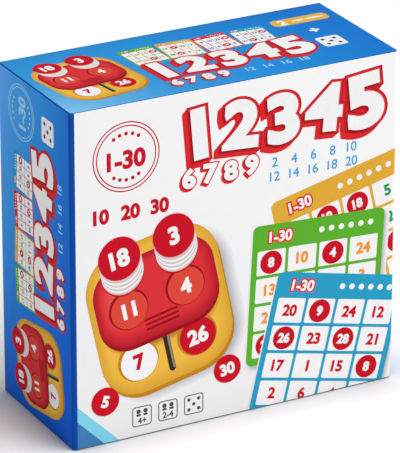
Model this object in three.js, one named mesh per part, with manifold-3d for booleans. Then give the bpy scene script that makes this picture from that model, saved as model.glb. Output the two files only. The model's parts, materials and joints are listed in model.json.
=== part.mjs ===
// Boxed bingo game: a lift-off lid over a tray, and in the tray four playing boards, a folded
// leaflet, a card platform and a token dispenser with a sliding magazine and thirty tokens.
// Lengths are millimetres. The pieces are modelled with the box lying on its back, X to the
// right, Y towards the box's upper side and Z from the tray's floor to the printed front.
// The last group stands the box up, so the finished model has +Z up and its front at -Y.

import * as THREE from 'three';
import { mergeVertices } from 'three/addons/utils/BufferGeometryUtils.js';
import Module from 'manifold-3d';

const wasm = await Module();
wasm.setup();

// Driving sizes of the box
const boxWidth = 250;
const boxHeight = 246;
const wallThickness = 2;
const lidClearance = 0.5;
const sideEdgeRadius = 3;
const foldEdgeRadius = 1;
const trayEdgeRadius = 0.8;
const lidHeadroom = 20.9;

// Air between pieces that rest on each other, and how far a cutter runs past its face
const restGap = 0.3;
const overrun = 2;

// Playing boards and leaflet
const boardThickness = 2;
const boardSidePlay = 42;
const boardEndPlay = 8;
const boardCornerRadius = 8;
const boardNames = ['board_green', 'board_blue', 'board_orange', 'board_red'];
const boardColors = [0x57b64a, 0x2f9fdc, 0xf6a12b, 0xe0373f];
const leafThickness = 0.35;
const leafGap = 0.3;
const leafletNarrower = 47;
const leafletShorter = 15;

// Card platform that holds the dispenser
const cardThickness = 1.2;
const platformSideMargin = 32;
const platformEndMargin = 16;
const flapCornerGap = 3;
const fingerNotchRadius = 13;
const platformBelowShoulder = 2;

// Tokens
const tokenRadius = 18;
const tokenThickness = 2;
const tokenPlay = 0.6;
const tokensPerTube = 13;
const tokenCount = 30;

// Dispenser base
const baseHeight = 34;
const baseShoulderRadius = 12;
const baseWall = 2.2;
const deckThickness = 2.4;
const pocketDrop = 0.1;
const pocketFloor = 2;
const pocketWall = 2;
const thumbScoopRadius = 7;
const pocketRowY = 12;
const bellyRowGap = 1.4;
const slotWidth = 9;
const slotWall = 2.9;
const slotEndPlay = 0.5;
const railWidth = 4;
const ribThickness = 1.8;
const ribDepth = 10;
const ribStandoff = 6;

// Magazine that slides on the base
const tubeWall = 2.4;
const tubeRowGap = 4;
const tubeFreeboard = 8.1;
const lipHeight = 2.4;
const lipWidth = 1.6;
const mouthChamfer = 0.9;
const viewSlotWidth = 12;
const viewSlotSill = 3;
const hoodHeight = 9;
const hoodWall = 2;
const hoodShoulderRadius = 4;
const hoodSideMargin = 7.4;
const hoodRearMargin = 6.4;
const gripLength = 17.4;
const gripRidgeWidth = 1.8;
const gripRidgeHeight = 1.2;
const gripRidgePitch = 4;
const gripRidgeLength = 34;
const gripRidgeCount = 3;
const tongueLength = 36;
const tongueOffset = 2;
const webThickness = 2.4;
const webRootOverlap = 1.5;

// Keeper plate under the base and its two screws
const keeperOverhang = 4.5;
const keeperThickness = 3;
const keeperCornerRadius = 3;
const screwShankRadius = 1.4;
const screwHeadRadius = 3;
const screwHeadHeight = 1.8;
const screwEdgeDistance = 8;
const pilotDepth = 5;

// Shapes that stay alike at any size
const bodyPowerShare = 2 / 3.2;
const hoodPowerShare = 2 / 4.4;
const bodyTaperShare = 0.06;
const webHeightShare = 0.62;
const baseOutlineSteps = 48;
const hoodOutlineSteps = 40;
const shoulderSteps = 4;
const boreSteps = 36;
const tokenSteps = 32;
const screwSteps = 16;
const cornerSteps = 5;

// Sizes that follow from the driving sizes
const trayWidth = boxWidth - 2 * (wallThickness + lidClearance);
const trayHeight = boxHeight - 2 * (wallThickness + lidClearance);
const trayInnerWidth = trayWidth - 2 * wallThickness;
const trayInnerHeight = trayHeight - 2 * wallThickness;
const insertWidth = trayInnerWidth - 2 * restGap;
const insertHeight = trayInnerHeight - 2 * restGap;
const insertInnerWidth = insertWidth - 2 * cardThickness;
const insertInnerHeight = insertHeight - 2 * cardThickness;
const contentsFootY = restGap - insertInnerHeight / 2;

const boardWidth = insertInnerWidth - boardSidePlay;
const boardHeight = insertInnerHeight - boardEndPlay;
const boardPitch = boardThickness + restGap;
const stackFloor = wallThickness + restGap;
const leafletFloor = stackFloor + boardNames.length * boardPitch;
const leafletWidth = boardWidth - leafletNarrower;
const leafletHeight = boardHeight - leafletShorter;
const leafletThickness = 2 * leafThickness + leafGap;

const dispenserFloor = leafletFloor + leafletThickness + restGap;
const baseHalfWidth = insertWidth / 2 - platformSideMargin - restGap;
const baseHalfLength = insertHeight / 2 - platformEndMargin - restGap;
const platformTop = dispenserFloor + baseHeight - baseShoulderRadius - platformBelowShoulder;
const magazineFloor = baseHeight + restGap;

const boreRadius = tokenRadius + tokenPlay;
const tubeRadius = boreRadius + tubeWall;
const rowHalfSpacing = boreRadius + slotWall + slotWidth / 2;
const magazineTravel = 2 * tubeRadius + tubeRowGap;
const tubeRowY = pocketRowY + magazineTravel;
const tokenPitch = tokenThickness + restGap;
const pocketDepth = tokenThickness + restGap + pocketDrop;
const bossDepth = pocketDepth + pocketFloor;

const hoodHalfWidth = rowHalfSpacing + boreRadius + hoodSideMargin;
const hoodFrontY = pocketRowY - boreRadius - gripLength;
const hoodRearY = tubeRowY + boreRadius + hoodRearMargin;
const hoodCentreY = (hoodFrontY + hoodRearY) / 2;
const hoodHalfLength = (hoodRearY - hoodFrontY) / 2;
const bellyRowY = hoodFrontY - boreRadius - bellyRowGap;
const tubeHeight = tokensPerTube * tokenPitch + tubeFreeboard;

const tongueWidth = slotWidth - 2 * restGap;
const tongueCentreY = pocketRowY - tongueOffset;
const tongueDrop = restGap + bossDepth + restGap;
const slotFrontY = tongueCentreY - tongueLength / 2 - magazineTravel - slotEndPlay;
const slotRearY = tongueCentreY + tongueLength / 2 + slotEndPlay;
const screwSpacing = tongueLength - 2 * screwEdgeDistance;

const lidInnerTop = dispenserFloor + magazineFloor + tubeHeight + lidHeadroom;
const boxDepth = lidInnerTop + wallThickness;
const trayDepth = lidInnerTop - lidClearance;

// Materials, with their colours as on the box and in its pictures
function finish(color, roughness) {
  return new THREE.MeshStandardMaterial({ color, roughness, metalness: 0 });
}

const printedWrap = finish(0x2b86d0, 0.35);
const trayBoard = finish(0xf1f1ee, 0.6);
const whiteCard = finish(0xf6f5f1, 0.7);
const paper = finish(0xfafaf6, 0.8);
const yellowPlastic = finish(0xf2b233, 0.35);
const redPlastic = finish(0xd92f3a, 0.3);
const tokenCard = finish(0xdd3540, 0.45);
const steel = new THREE.MeshStandardMaterial({ color: 0xb8bcc0, roughness: 0.35, metalness: 1 });

// A closed geometry becomes a solid for cutting and joining, and a solid a geometry again
function toSolid(geometry) {
  const bare = geometry.clone();
  bare.deleteAttribute('normal');
  bare.deleteAttribute('uv');
  const merged = mergeVertices(bare);
  const mesh = new wasm.Mesh({
    numProp: 3,
    vertProperties: new Float32Array(merged.attributes.position.array),
    triVerts: new Uint32Array(merged.index.array),
  });
  return new wasm.Manifold(mesh);
}

function toGeometry(solid) {
  const mesh = solid.getMesh();
  const geometry = new THREE.BufferGeometry();
  geometry.setAttribute('position', new THREE.BufferAttribute(mesh.vertProperties, 3));
  geometry.setIndex(new THREE.BufferAttribute(mesh.triVerts, 1));
  geometry.computeVertexNormals();
  return geometry;
}

function joined(solids) {
  return solids.reduce((sum, solid) => sum.add(solid));
}

function cut(solid, cutters) {
  return cutters.reduce((rest, cutter) => rest.subtract(cutter), solid);
}

// A block between two values along each axis
function block(xRange, yRange, zRange) {
  const size = [xRange, yRange, zRange].map(([low, high]) => high - low);
  const geometry = new THREE.BoxGeometry(...size);
  const middle = [xRange, yRange, zRange].map(([low, high]) => (low + high) / 2);
  return toSolid(geometry.translate(...middle));
}

function across(half) {
  return [-half, half];
}

// An upright round bar between two heights
function bar(radius, x, y, zRange, steps) {
  const height = zRange[1] - zRange[0];
  const geometry = new THREE.CylinderGeometry(radius, radius, height, steps);
  geometry.rotateX(Math.PI / 2);
  return toSolid(geometry.translate(x, y, zRange[0] + height / 2));
}

// A shape pushed up between two heights
function prism(shape, zRange) {
  const options = { depth: zRange[1] - zRange[0], bevelEnabled: false, curveSegments: cornerSteps };
  const geometry = new THREE.ExtrudeGeometry(shape, options);
  return toSolid(geometry.translate(0, 0, zRange[0]));
}

function roundedRectangle(halfWidth, halfHeight, radius) {
  const shape = new THREE.Shape();
  shape.absarc(halfWidth - radius, halfHeight - radius, radius, 0, Math.PI / 2);
  shape.absarc(radius - halfWidth, halfHeight - radius, radius, Math.PI / 2, Math.PI);
  shape.absarc(radius - halfWidth, radius - halfHeight, radius, Math.PI, Math.PI * 1.5);
  shape.absarc(halfWidth - radius, radius - halfHeight, radius, Math.PI * 1.5, Math.PI * 2);
  return shape;
}

// A section with square feet and a rounded edge at each side of its top
function roundTopped(halfWidth, height, radius) {
  const shape = new THREE.Shape();
  shape.moveTo(-halfWidth, 0);
  shape.lineTo(halfWidth, 0);
  shape.absarc(halfWidth - radius, height - radius, radius, 0, Math.PI / 2);
  shape.absarc(radius - halfWidth, height - radius, radius, Math.PI / 2, Math.PI);
  return shape;
}

// A skin over rings of points, closed by a fan at each end
function loft(rings) {
  const count = rings[0].length;
  const indices = [];
  rings.slice(1).forEach((ring, level) => {
    for (let step = 0; step < count; step += 1) {
      const here = level * count + step;
      const beside = level * count + ((step + 1) % count);
      indices.push(here, beside, beside + count);
      indices.push(here, beside + count, here + count);
    }
  });
  const lastRing = (rings.length - 1) * count;
  for (let step = 1; step + 1 < count; step += 1) {
    indices.push(0, step + 1, step);
    indices.push(lastRing, lastRing + step, lastRing + step + 1);
  }
  const geometry = new THREE.BufferGeometry().setFromPoints(rings.flat());
  geometry.setIndex(indices);
  return toSolid(geometry);
}

// A rounded outline between an ellipse and a rectangle, slimmer towards +Y by the taper
function softOutline(halfWidth, halfLength, power, taper, steps, z) {
  return Array.from({ length: steps }, (unused, step) => {
    const angle = (step / steps) * Math.PI * 2;
    const across = Math.sign(Math.cos(angle)) * Math.abs(Math.cos(angle)) ** power;
    const along = Math.sign(Math.sin(angle)) * Math.abs(Math.sin(angle)) ** power;
    return new THREE.Vector3(halfWidth * across * (1 - taper * along), halfLength * along, z);
  });
}

// Levels of a body with straight sides and a quarter-round shoulder
function shoulderLevels(bottom, top, radius) {
  const levels = [{ z: bottom, inset: 0 }];
  for (let step = 0; step <= shoulderSteps; step += 1) {
    const angle = (step / shoulderSteps) * (Math.PI / 2);
    const z = top - radius + radius * Math.sin(angle);
    levels.push({ z, inset: radius * (1 - Math.cos(angle)) });
  }
  return levels;
}

function bodyBlock(inset, bottom, top, radius) {
  return loft(shoulderLevels(bottom, top, radius).map((level) => softOutline(
    baseHalfWidth - inset - level.inset,
    baseHalfLength - inset - level.inset,
    bodyPowerShare,
    bodyTaperShare,
    baseOutlineSteps,
    level.z,
  )));
}

function hoodBlock(inset, bottom, top, radius) {
  const solid = loft(shoulderLevels(bottom, top, radius).map((level) => softOutline(
    hoodHalfWidth - inset - level.inset,
    hoodHalfLength - inset - level.inset,
    hoodPowerShare,
    0,
    hoodOutlineSteps,
    level.z,
  )));
  return solid.translate([0, hoodCentreY, 0]);
}

// A slot or plate with round ends, long in Y
function roundEnded(halfWidth, frontY, rearY, zRange) {
  const straight = block(across(halfWidth), [frontY + halfWidth, rearY - halfWidth], zRange);
  const front = bar(halfWidth, 0, frontY + halfWidth, zRange, boreSteps);
  const rear = bar(halfWidth, 0, rearY - halfWidth, zRange, boreSteps);
  return joined([straight, front, rear]);
}

// Lid: a full-depth shell, open at the back, with its outer edges softened by the wrap
function makeLid() {
  const faceOutline = roundedRectangle(boxWidth / 2, boxHeight / 2, foldEdgeRadius);
  const face = prism(faceOutline, [0, boxDepth]);
  const widthSection = roundTopped(boxWidth / 2, boxDepth, sideEdgeRadius);
  const alongY = prism(widthSection, across(boxHeight / 2 + overrun)).rotate([90, 0, 0]);
  const heightSection = roundTopped(boxHeight / 2, boxDepth, foldEdgeRadius);
  const alongX = prism(heightSection, across(boxWidth / 2 + overrun)).rotate([90, 0, 90]);
  const outside = face.intersect(alongY).intersect(alongX);
  const inside = block(
    across(boxWidth / 2 - wallThickness),
    across(boxHeight / 2 - wallThickness),
    [-overrun, lidInnerTop],
  );
  return outside.subtract(inside);
}

// Tray: the lower half of the box, its floor flush with the lid's rim
function makeTray() {
  const outline = roundedRectangle(trayWidth / 2, trayHeight / 2, trayEdgeRadius);
  const inside = block(
    across(trayInnerWidth / 2),
    across(trayInnerHeight / 2),
    [wallThickness, trayDepth + overrun],
  );
  return prism(outline, [0, trayDepth]).subtract(inside);
}

// Platform: one sheet of card with four flaps folded down and the dispenser's cut-out
function makePlatform() {
  const outside = block(across(insertWidth / 2), across(insertHeight / 2), [stackFloor, platformTop]);
  const inside = block(
    across(insertInnerWidth / 2),
    across(insertInnerHeight / 2),
    [stackFloor - overrun, platformTop - cardThickness],
  );
  const through = [platformTop - cardThickness - overrun, platformTop + overrun];
  const cutOut = loft(through.map((z) => softOutline(
    baseHalfWidth + restGap,
    baseHalfLength + restGap,
    bodyPowerShare,
    bodyTaperShare,
    baseOutlineSteps,
    z,
  )));
  const notches = [-1, 1].map((side) => (
    bar(fingerNotchRadius, side * baseHalfWidth, 0, through, boreSteps)
  ));
  const cornerRange = [-1, 1].flatMap((sideX) => [-1, 1].map((sideY) => {
    const centreX = sideX * (insertWidth / 2);
    const centreY = sideY * (insertHeight / 2);
    return block(
      [centreX - flapCornerGap, centreX + flapCornerGap],
      [centreY - flapCornerGap, centreY + flapCornerGap],
      [stackFloor - overrun, platformTop - cardThickness],
    );
  }));
  return cut(outside, [inside, cutOut, ...notches, ...cornerRange]);
}

function makeBoard() {
  const outline = roundedRectangle(boardWidth / 2, boardHeight / 2, boardCornerRadius);
  return prism(outline, [0, boardThickness]);
}

// Leaflet: one sheet folded in half, with the fold at its left edge
function makeLeaflet() {
  const sheet = block(
    across(leafletWidth / 2),
    across(leafletHeight / 2),
    [0, leafletThickness],
  );
  const between = block(
    [leafThickness - leafletWidth / 2, leafletWidth / 2 + overrun],
    across(leafletHeight / 2 + overrun),
    [leafThickness, leafThickness + leafGap],
  );
  return sheet.subtract(between);
}

function makeToken() {
  return bar(tokenRadius, 0, 0, [0, tokenThickness], tokenSteps);
}

// A place for each round hole, to the left and right of the guide slot
function pairAt(y) {
  return [-1, 1].map((side) => ({ side, x: side * rowHalfSpacing, y }));
}

// Dispenser base: a hollow moulding with a flat deck, four token pockets and the guide slot
function makeDispenserBase() {
  const shell = bodyBlock(0, 0, baseHeight, baseShoulderRadius).subtract(
    bodyBlock(baseWall, -overrun, baseHeight - deckThickness, baseShoulderRadius - baseWall),
  );
  const bossRange = [baseHeight - bossDepth, baseHeight - deckThickness / 2];
  const pocketRange = [baseHeight - pocketDepth, baseHeight + overrun];
  const bosses = [];
  const pockets = [];
  [...pairAt(pocketRowY), ...pairAt(bellyRowY)].forEach(({ side, x, y }) => {
    const scoopX = x + side * boreRadius;
    bosses.push(bar(boreRadius + pocketWall, x, y, bossRange, boreSteps));
    bosses.push(bar(thumbScoopRadius + pocketWall, scoopX, y, bossRange, boreSteps));
    pockets.push(bar(boreRadius, x, y, pocketRange, boreSteps));
    pockets.push(bar(thumbScoopRadius, scoopX, y, pocketRange, boreSteps));
  });
  const rails = roundEnded(
    slotWidth / 2 + railWidth,
    slotFrontY - railWidth,
    slotRearY + railWidth,
    bossRange,
  );
  const slotRange = [baseHeight - bossDepth - overrun, baseHeight + overrun];
  const slot = roundEnded(slotWidth / 2, slotFrontY, slotRearY, slotRange);
  const ribs = makeRibs(bossRange[1]);
  return cut(joined([shell, ...bosses, rails, ribs]), [...pockets, slot]);
}

// Ribs under the deck, trimmed to the inside of the moulding
function makeRibs(top) {
  const range = [baseHeight - ribDepth, top];
  const half = ribThickness / 2;
  const sideRibX = rowHalfSpacing + boreRadius + thumbScoopRadius + pocketWall + ribStandoff;
  const crossRibYs = [
    slotFrontY - railWidth - ribStandoff,
    slotRearY + railWidth + ribStandoff,
    tubeRowY + boreRadius,
  ];
  const crossRibs = crossRibYs.map((y) => block(across(baseHalfWidth), [y - half, y + half], range));
  const sideRibs = [-sideRibX, sideRibX].map((x) => (
    block([x - half, x + half], across(baseHalfLength), range)
  ));
  const room = bodyBlock(baseWall / 2, 0, baseHeight - deckThickness / 2, baseShoulderRadius - baseWall);
  return joined([...crossRibs, ...sideRibs]).intersect(room);
}

// A magazine tube: a revolved wall with a lip and a chamfered mouth
function makeTube(x, y) {
  const lipRadius = tubeRadius + lipWidth;
  const profile = [
    [boreRadius, 0],
    [tubeRadius, 0],
    [tubeRadius, tubeHeight - lipHeight - lipWidth],
    [lipRadius, tubeHeight - lipHeight],
    [lipRadius, tubeHeight],
    [boreRadius + mouthChamfer, tubeHeight],
    [boreRadius, tubeHeight - mouthChamfer],
    [boreRadius, 0],
  ].map(([radius, height]) => new THREE.Vector2(radius, height));
  const geometry = new THREE.LatheGeometry(profile, boreSteps);
  geometry.rotateX(Math.PI / 2);
  return toSolid(geometry.translate(x, y, 0));
}

// The slot in a tube's outer side that shows how many tokens are left
function makeViewSlot(side, x, y) {
  const half = viewSlotWidth / 2;
  const sill = hoodHeight + viewSlotSill;
  const reach = [x, x + side * (tubeRadius + lipWidth + overrun)].sort((low, high) => low - high);
  const straight = block(reach, [y - half, y + half], [sill + half, tubeHeight + overrun]);
  const length = reach[1] - reach[0];
  const round = new THREE.CylinderGeometry(half, half, length, boreSteps);
  round.rotateZ(Math.PI / 2);
  round.translate(reach[0] + length / 2, y, sill + half);
  return straight.add(toSolid(round));
}

// Magazine: a hood with two windows, two token tubes, a grip and a tongue for the guide slot
function makeMagazine() {
  const hood = hoodBlock(0, 0, hoodHeight, hoodShoulderRadius).subtract(
    hoodBlock(hoodWall, -overrun, hoodHeight - hoodWall, hoodShoulderRadius - hoodWall),
  );
  const windowRange = [0, hoodHeight - hoodWall / 2];
  const windowWells = pairAt(pocketRowY).map(({ x, y }) => (
    bar(tubeRadius, x, y, windowRange, boreSteps)
  ));
  const tubes = pairAt(tubeRowY).map(({ x, y }) => makeTube(x, y));
  const holeRange = [-overrun, hoodHeight + overrun];
  const holes = [...pairAt(pocketRowY), ...pairAt(tubeRowY)].map(({ x, y }) => (
    bar(boreRadius, x, y, holeRange, boreSteps)
  ));
  const viewSlots = pairAt(tubeRowY).map(({ side, x, y }) => makeViewSlot(side, x, y));

  const webHalfWidth = rowHalfSpacing - tubeRadius + webRootOverlap;
  const web = block(
    across(webHalfWidth),
    [tubeRowY - webThickness / 2, tubeRowY + webThickness / 2],
    [hoodHeight - hoodWall, tubeHeight * webHeightShare],
  );
  const tongueY = [tongueCentreY - tongueLength / 2, tongueCentreY + tongueLength / 2];
  const tongue = roundEnded(tongueWidth / 2, ...tongueY, [-tongueDrop, hoodHeight - hoodWall / 2]);
  const tongueRoot = block(across(webHalfWidth), tongueY, windowRange);
  const pilots = screwPlaces().map((y) => (
    bar(screwShankRadius + restGap, 0, y, [-tongueDrop - overrun, pilotDepth - tongueDrop], screwSteps)
  ));
  const solid = joined([hood, ...windowWells, ...tubes, web, tongue, tongueRoot, ...makeGrip()]);
  return cut(solid, [...holes, ...viewSlots, ...pilots]);
}

// Ridges for the thumb on the hood's front end
function makeGrip() {
  const middle = hoodFrontY + gripLength / 2;
  return Array.from({ length: gripRidgeCount }, (unused, index) => {
    const y = middle + (index - (gripRidgeCount - 1) / 2) * gripRidgePitch;
    return block(
      across(gripRidgeLength / 2),
      [y - gripRidgeWidth / 2, y + gripRidgeWidth / 2],
      [hoodHeight - hoodWall / 2, hoodHeight + gripRidgeHeight],
    );
  });
}

function screwPlaces() {
  return [-1, 1].map((side) => tongueCentreY + side * (screwSpacing / 2));
}

// Keeper: the plate screwed to the tongue from below, which holds the magazine down
function makeKeeper() {
  const top = -tongueDrop - restGap;
  const range = [top - keeperThickness, top];
  const outline = roundedRectangle(slotWidth / 2 + keeperOverhang, tongueLength / 2, keeperCornerRadius);
  const plate = prism(outline, range).translate([0, tongueCentreY, 0]);
  const holeRange = [range[0] - overrun, range[1] + overrun];
  const holes = screwPlaces().map((y) => bar(screwShankRadius + restGap, 0, y, holeRange, screwSteps));
  return cut(plate, holes);
}

function makeScrew(y) {
  const headTop = -tongueDrop - restGap - keeperThickness - restGap;
  const shankTop = pilotDepth - tongueDrop - restGap;
  const head = bar(screwHeadRadius, 0, y, [headTop - screwHeadHeight, headTop], screwSteps);
  const shank = bar(screwShankRadius, 0, y, [headTop - screwHeadHeight / 2, shankTop], screwSteps);
  return head.add(shank);
}

// Adds one named piece to a group, at a place of its own
function place(group, name, solid, material, x = 0, y = 0, z = 0) {
  const mesh = new THREE.Mesh(toGeometry(solid), material);
  mesh.name = name;
  mesh.position.set(x, y, z);
  group.add(mesh);
}

// The tokens keep their printed numbers as names
function tokenName(number) {
  return `token_${String(number).padStart(2, '0')}`;
}

const lyingBox = new THREE.Group();
const dispenser = new THREE.Group();
const magazine = new THREE.Group();

place(lyingBox, 'box_lid', makeLid(), printedWrap);
place(lyingBox, 'box_tray', makeTray(), trayBoard);
place(lyingBox, 'insert_platform', makePlatform(), whiteCard);

const board = makeBoard();
boardNames.forEach((name, index) => {
  const y = contentsFootY + boardHeight / 2;
  place(lyingBox, name, board, finish(boardColors[index], 0.4), 0, y, stackFloor + index * boardPitch);
});
place(lyingBox, 'rules_leaflet', makeLeaflet(), paper, 0, contentsFootY + leafletHeight / 2, leafletFloor);

place(dispenser, 'dispenser_base', makeDispenserBase(), yellowPlastic);
place(magazine, 'magazine', makeMagazine(), redPlastic);
place(magazine, 'magazine_keeper', makeKeeper(), redPlastic);
screwPlaces().forEach((y, index) => {
  place(magazine, ['keeper_screw_lower', 'keeper_screw_upper'][index], makeScrew(y), steel);
});

// Thirteen tokens stand in each tube, and the last four lie in the pockets
const token = makeToken();
const drawnTokens = [...pairAt(pocketRowY), ...pairAt(bellyRowY)];
const stackedCount = tokenCount - drawnTokens.length;
for (let index = 0; index < stackedCount; index += 1) {
  const { x, y } = pairAt(tubeRowY)[index % 2];
  const level = Math.floor(index / 2);
  place(magazine, tokenName(index + 1), token, tokenCard, x, y, level * tokenPitch);
}
drawnTokens.forEach(({ x, y }, index) => {
  const z = baseHeight - pocketDepth + restGap;
  place(dispenser, tokenName(stackedCount + index + 1), token, tokenCard, x, y, z);
});

magazine.position.z = magazineFloor;
dispenser.position.z = dispenserFloor;
dispenser.add(magazine);
lyingBox.add(dispenser);
lyingBox.rotation.x = Math.PI / 2;
lyingBox.position.set(0, boxDepth / 2, boxHeight / 2);

const bingoGame = new THREE.Group();
bingoGame.add(lyingBox);

export default bingoGame;
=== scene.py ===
"""Looks of a boxed bingo game, built round its packed CAD parts.

The box stands on its lower edge with the lid's printed front towards the viewer. Inside lie the
playing boards, the leaflet, the platform and the token dispenser. Every picture is printed as
thin sheets of ink: one mesh for each ink on each face, laid out in millimetres on a page.
"""

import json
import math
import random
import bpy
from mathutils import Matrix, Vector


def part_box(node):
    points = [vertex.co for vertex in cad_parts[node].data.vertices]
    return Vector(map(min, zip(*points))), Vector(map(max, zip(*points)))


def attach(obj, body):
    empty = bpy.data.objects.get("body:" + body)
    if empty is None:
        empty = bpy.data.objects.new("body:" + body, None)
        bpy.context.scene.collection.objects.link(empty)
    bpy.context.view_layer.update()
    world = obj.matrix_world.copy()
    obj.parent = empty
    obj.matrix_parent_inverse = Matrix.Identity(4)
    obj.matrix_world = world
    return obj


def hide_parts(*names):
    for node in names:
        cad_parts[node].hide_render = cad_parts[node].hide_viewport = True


bl_info = {
    "name": "Boxed bingo game",
    "version": (1, 0, 0),
    "blender": (4, 5, 0),
    "location": "View3D > Sidebar > Bingo game",
    "description": "Dresses the packed parts of a boxed bingo game with number tokens",
    "category": "Object",
}

import bmesh
import bpy
from bpy.props import FloatProperty, FloatVectorProperty, IntProperty, PointerProperty
from bpy.types import Operator, Panel, PropertyGroup
from mathutils import Matrix, Vector
from mathutils.geometry import delaunay_2d_cdt

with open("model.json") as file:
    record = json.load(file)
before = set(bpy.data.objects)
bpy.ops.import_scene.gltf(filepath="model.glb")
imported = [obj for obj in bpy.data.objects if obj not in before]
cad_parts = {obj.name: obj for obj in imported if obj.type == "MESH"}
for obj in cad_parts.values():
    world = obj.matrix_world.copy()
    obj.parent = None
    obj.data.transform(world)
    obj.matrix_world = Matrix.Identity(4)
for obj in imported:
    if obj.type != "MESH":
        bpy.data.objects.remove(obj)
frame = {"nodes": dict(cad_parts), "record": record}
bpy.context.view_layer.update()

# Fixed facts
MM = 0.001
RIGHT = Vector((1, 0, 0))
BACK = Vector((0, 1, 0))
UP = Vector((0, 0, 1))
LID_LOW, LID_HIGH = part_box("box_lid")
LID_SIZE = LID_HIGH - LID_LOW
BOARD_NODES = ("board_green", "board_blue", "board_orange", "board_red")
TOKEN_NODES = sorted(name for name in frame["nodes"] if name.startswith("token_"))

# A token's sides, and in millimetres the height of its digits and the radius and line of its ring
TOKEN_SIDES = 56
TOKEN_DIGITS = 13
TOKEN_RING = 16.6
TOKEN_RING_LINE = 0.7

# Metres within which two points count as one, a point as on a plane, and a sliver as nothing
POINT_SLACK = 1e-6
PLANE_SLACK = 1e-5
SLIVER_SLACK = 1e-7

# Angle over which two faces meet in a fold, and angle under which they are merged
FOLD_ANGLE = math.radians(60)
MERGE_ANGLE = math.radians(0.5)

# How straight a face points in a direction, or an edge runs along one, to count as doing so
FACING_SHARE = 0.9
ALONG_SHARE = 0.99

# Parts of a face's normal that tell the lid's finishes apart: what counts as none, how far up the
# front's paper reaches, where the fold at the foot painted grey as contact shade starts, what counts
# as the top and as flat, and how far a fold may lean back before it loses the painted fold shade
NORMAL_SLACK = 0.01
FRONT_PAPER_RISE = 0.5
FOOT_SHADE_RISE = -0.2
TOP_FACE_RISE = 0.95
FLAT_SHARE = 0.999
PLAIN_FOLD_DEPTH = 0.1

# The game's numbers, and the two rows of them in the title
HIGHEST_NUMBER = 30
RANGE_LABEL = f"1-{HIGHEST_NUMBER}"
TITLE_NUMBERS = "12345"
SMALL_TITLE_NUMBERS = "6789"

# In a page's millimetres: the bare rim of the lid's pages, and how near a cut or a bend counts as
# on its line
LID_BORDER = 1.0
CUT_SLACK = 1e-4
BEND_SLACK = 1e-5

# Lines along which a print may bend round an edge. Their pitch and the print's reach are shares of
# the edge's radius
BEND_LINES = 6
BEND_PITCH_SHARE = 0.25
BEND_REACH_SHARE = 1.2

# Metres by which the edges of card and paper are rounded
TRAY_EDGE = 0.0004
PLATFORM_EDGE = 0.0002
BOARD_EDGE = 0.00025
LEAFLET_EDGE = 0.00008

# A playing board's bare rims at both sides together, and the height of its ink levels in millimetres
BOARD_RIMS = 4
BOARD_INK_STEP = 0.012

# Columns and cells of a playing board
CARD_COLUMNS = 4
CARD_CELLS = 16

# Shares of a sign's side, of the badge's radius, of a printed bar's height and of a tile's short side
SIGN_CORNER_SHARE = 0.16
SIGN_LINE_SHARE = 0.05
RING_LINE_SHARE = 0.035
BAR_GAP_SHARE = 0.7
WIDEST_CORNER_SHARE = 0.499

# The part of a noise that is spread over the range of a finish
NOISE_LOW = 0.3
NOISE_HIGH = 0.7

# For each finish: scale and amount of its mottling, lowest and highest roughness with the scale on
# which they vary, and scale and depth of its grain
FINISHES = {
    "ink": ((420, 0.016), (0.4, 0.5, 90), (2600, 0.000012)),
    "wrap": ((420, 0.02), (0.36, 0.46, 70), (2600, 0.000012)),
    "paper": ((160, 0.008), None, (1800, 0.00002)),
    "greyboard": ((900, 0.14), None, (1400, 0.00005)),
    "plastic": ((24, 0.03), (0.26, 0.36, 60), (700, 0.00003)),
    "steel": ((500, 0.05), (0.26, 0.4, 300), None),
    "floor": ((6, 0.004), None, None),
}


def tone(red, green, blue):
    """A colour given as screen values from 0 to 255, as Blender's linear values."""
    shares = [value / 255 for value in (red, green, blue)]
    return tuple(s / 12.92 if s <= 0.04045 else ((s + 0.055) / 1.055) ** 2.4 for s in shares)


def blend(first, second, share):
    """A colour between two others."""
    return tuple(a + (b - a) * share for a, b in zip(first, second))


# Inks of the prints, each with its colour
INKS = {
    "white": tone(236, 236, 237),
    "title_red": tone(212, 42, 46),
    "title_rim": tone(184, 25, 38),
    "title_shade": tone(149, 19, 31),
    "badge_red": tone(193, 25, 44),
    "line_blue": tone(63, 153, 205),
    "pale_blue": tone(150, 206, 240),
    "token_red": tone(195, 21, 39),
    "window_red": tone(214, 71, 57),
    "frame_green": tone(90, 171, 47),
    "frame_blue": tone(42, 153, 191),
    "frame_orange": tone(218, 166, 57),
    "frame_red": tone(205, 48, 57),
    "number_orange": tone(236, 144, 48),
    "number_green": tone(23, 153, 86),
    "number_red": tone(199, 21, 42),
    "number_blue": tone(28, 110, 190),
    "grey": tone(74, 74, 80),
    "sheet_edge": tone(205, 191, 189),
    "slot_dark": tone(52, 46, 38),
    "slot_light": tone(140, 132, 108),
    "yellow_rim": tone(188, 126, 30),
    "corner_blue": tone(65, 123, 179),
    "corner_light": tone(126, 203, 228),
}

# Inks in even steps from an outer to an inner tone, for pictured shapes that look rounded
SHADING_STEPS = 8
SHADING_ENDS = {
    "yellow": (tone(212, 160, 54), tone(232, 181, 70)),
    "shadow": (tone(224, 172, 65), tone(168, 111, 36)),
    "hood": (tone(174, 29, 42), tone(213, 50, 57)),
    "glow": (tone(213, 50, 57), tone(226, 88, 88)),
    "drop": (tone(234, 234, 236), tone(176, 178, 184)),
}
for family, (outer_tone, inner_tone) in SHADING_ENDS.items():
    for step in range(SHADING_STEPS):
        INKS[f"{family}_{step}"] = blend(outer_tone, inner_tone, step / (SHADING_STEPS - 1))

# Frame ink and number ink of each playing board, also where it is pictured on the box
SCHEMES = {
    "green": ("frame_green", "number_orange"),
    "blue": ("frame_blue", "number_red"),
    "orange": ("frame_orange", "number_green"),
    "red": ("frame_red", "number_blue"),
}


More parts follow.
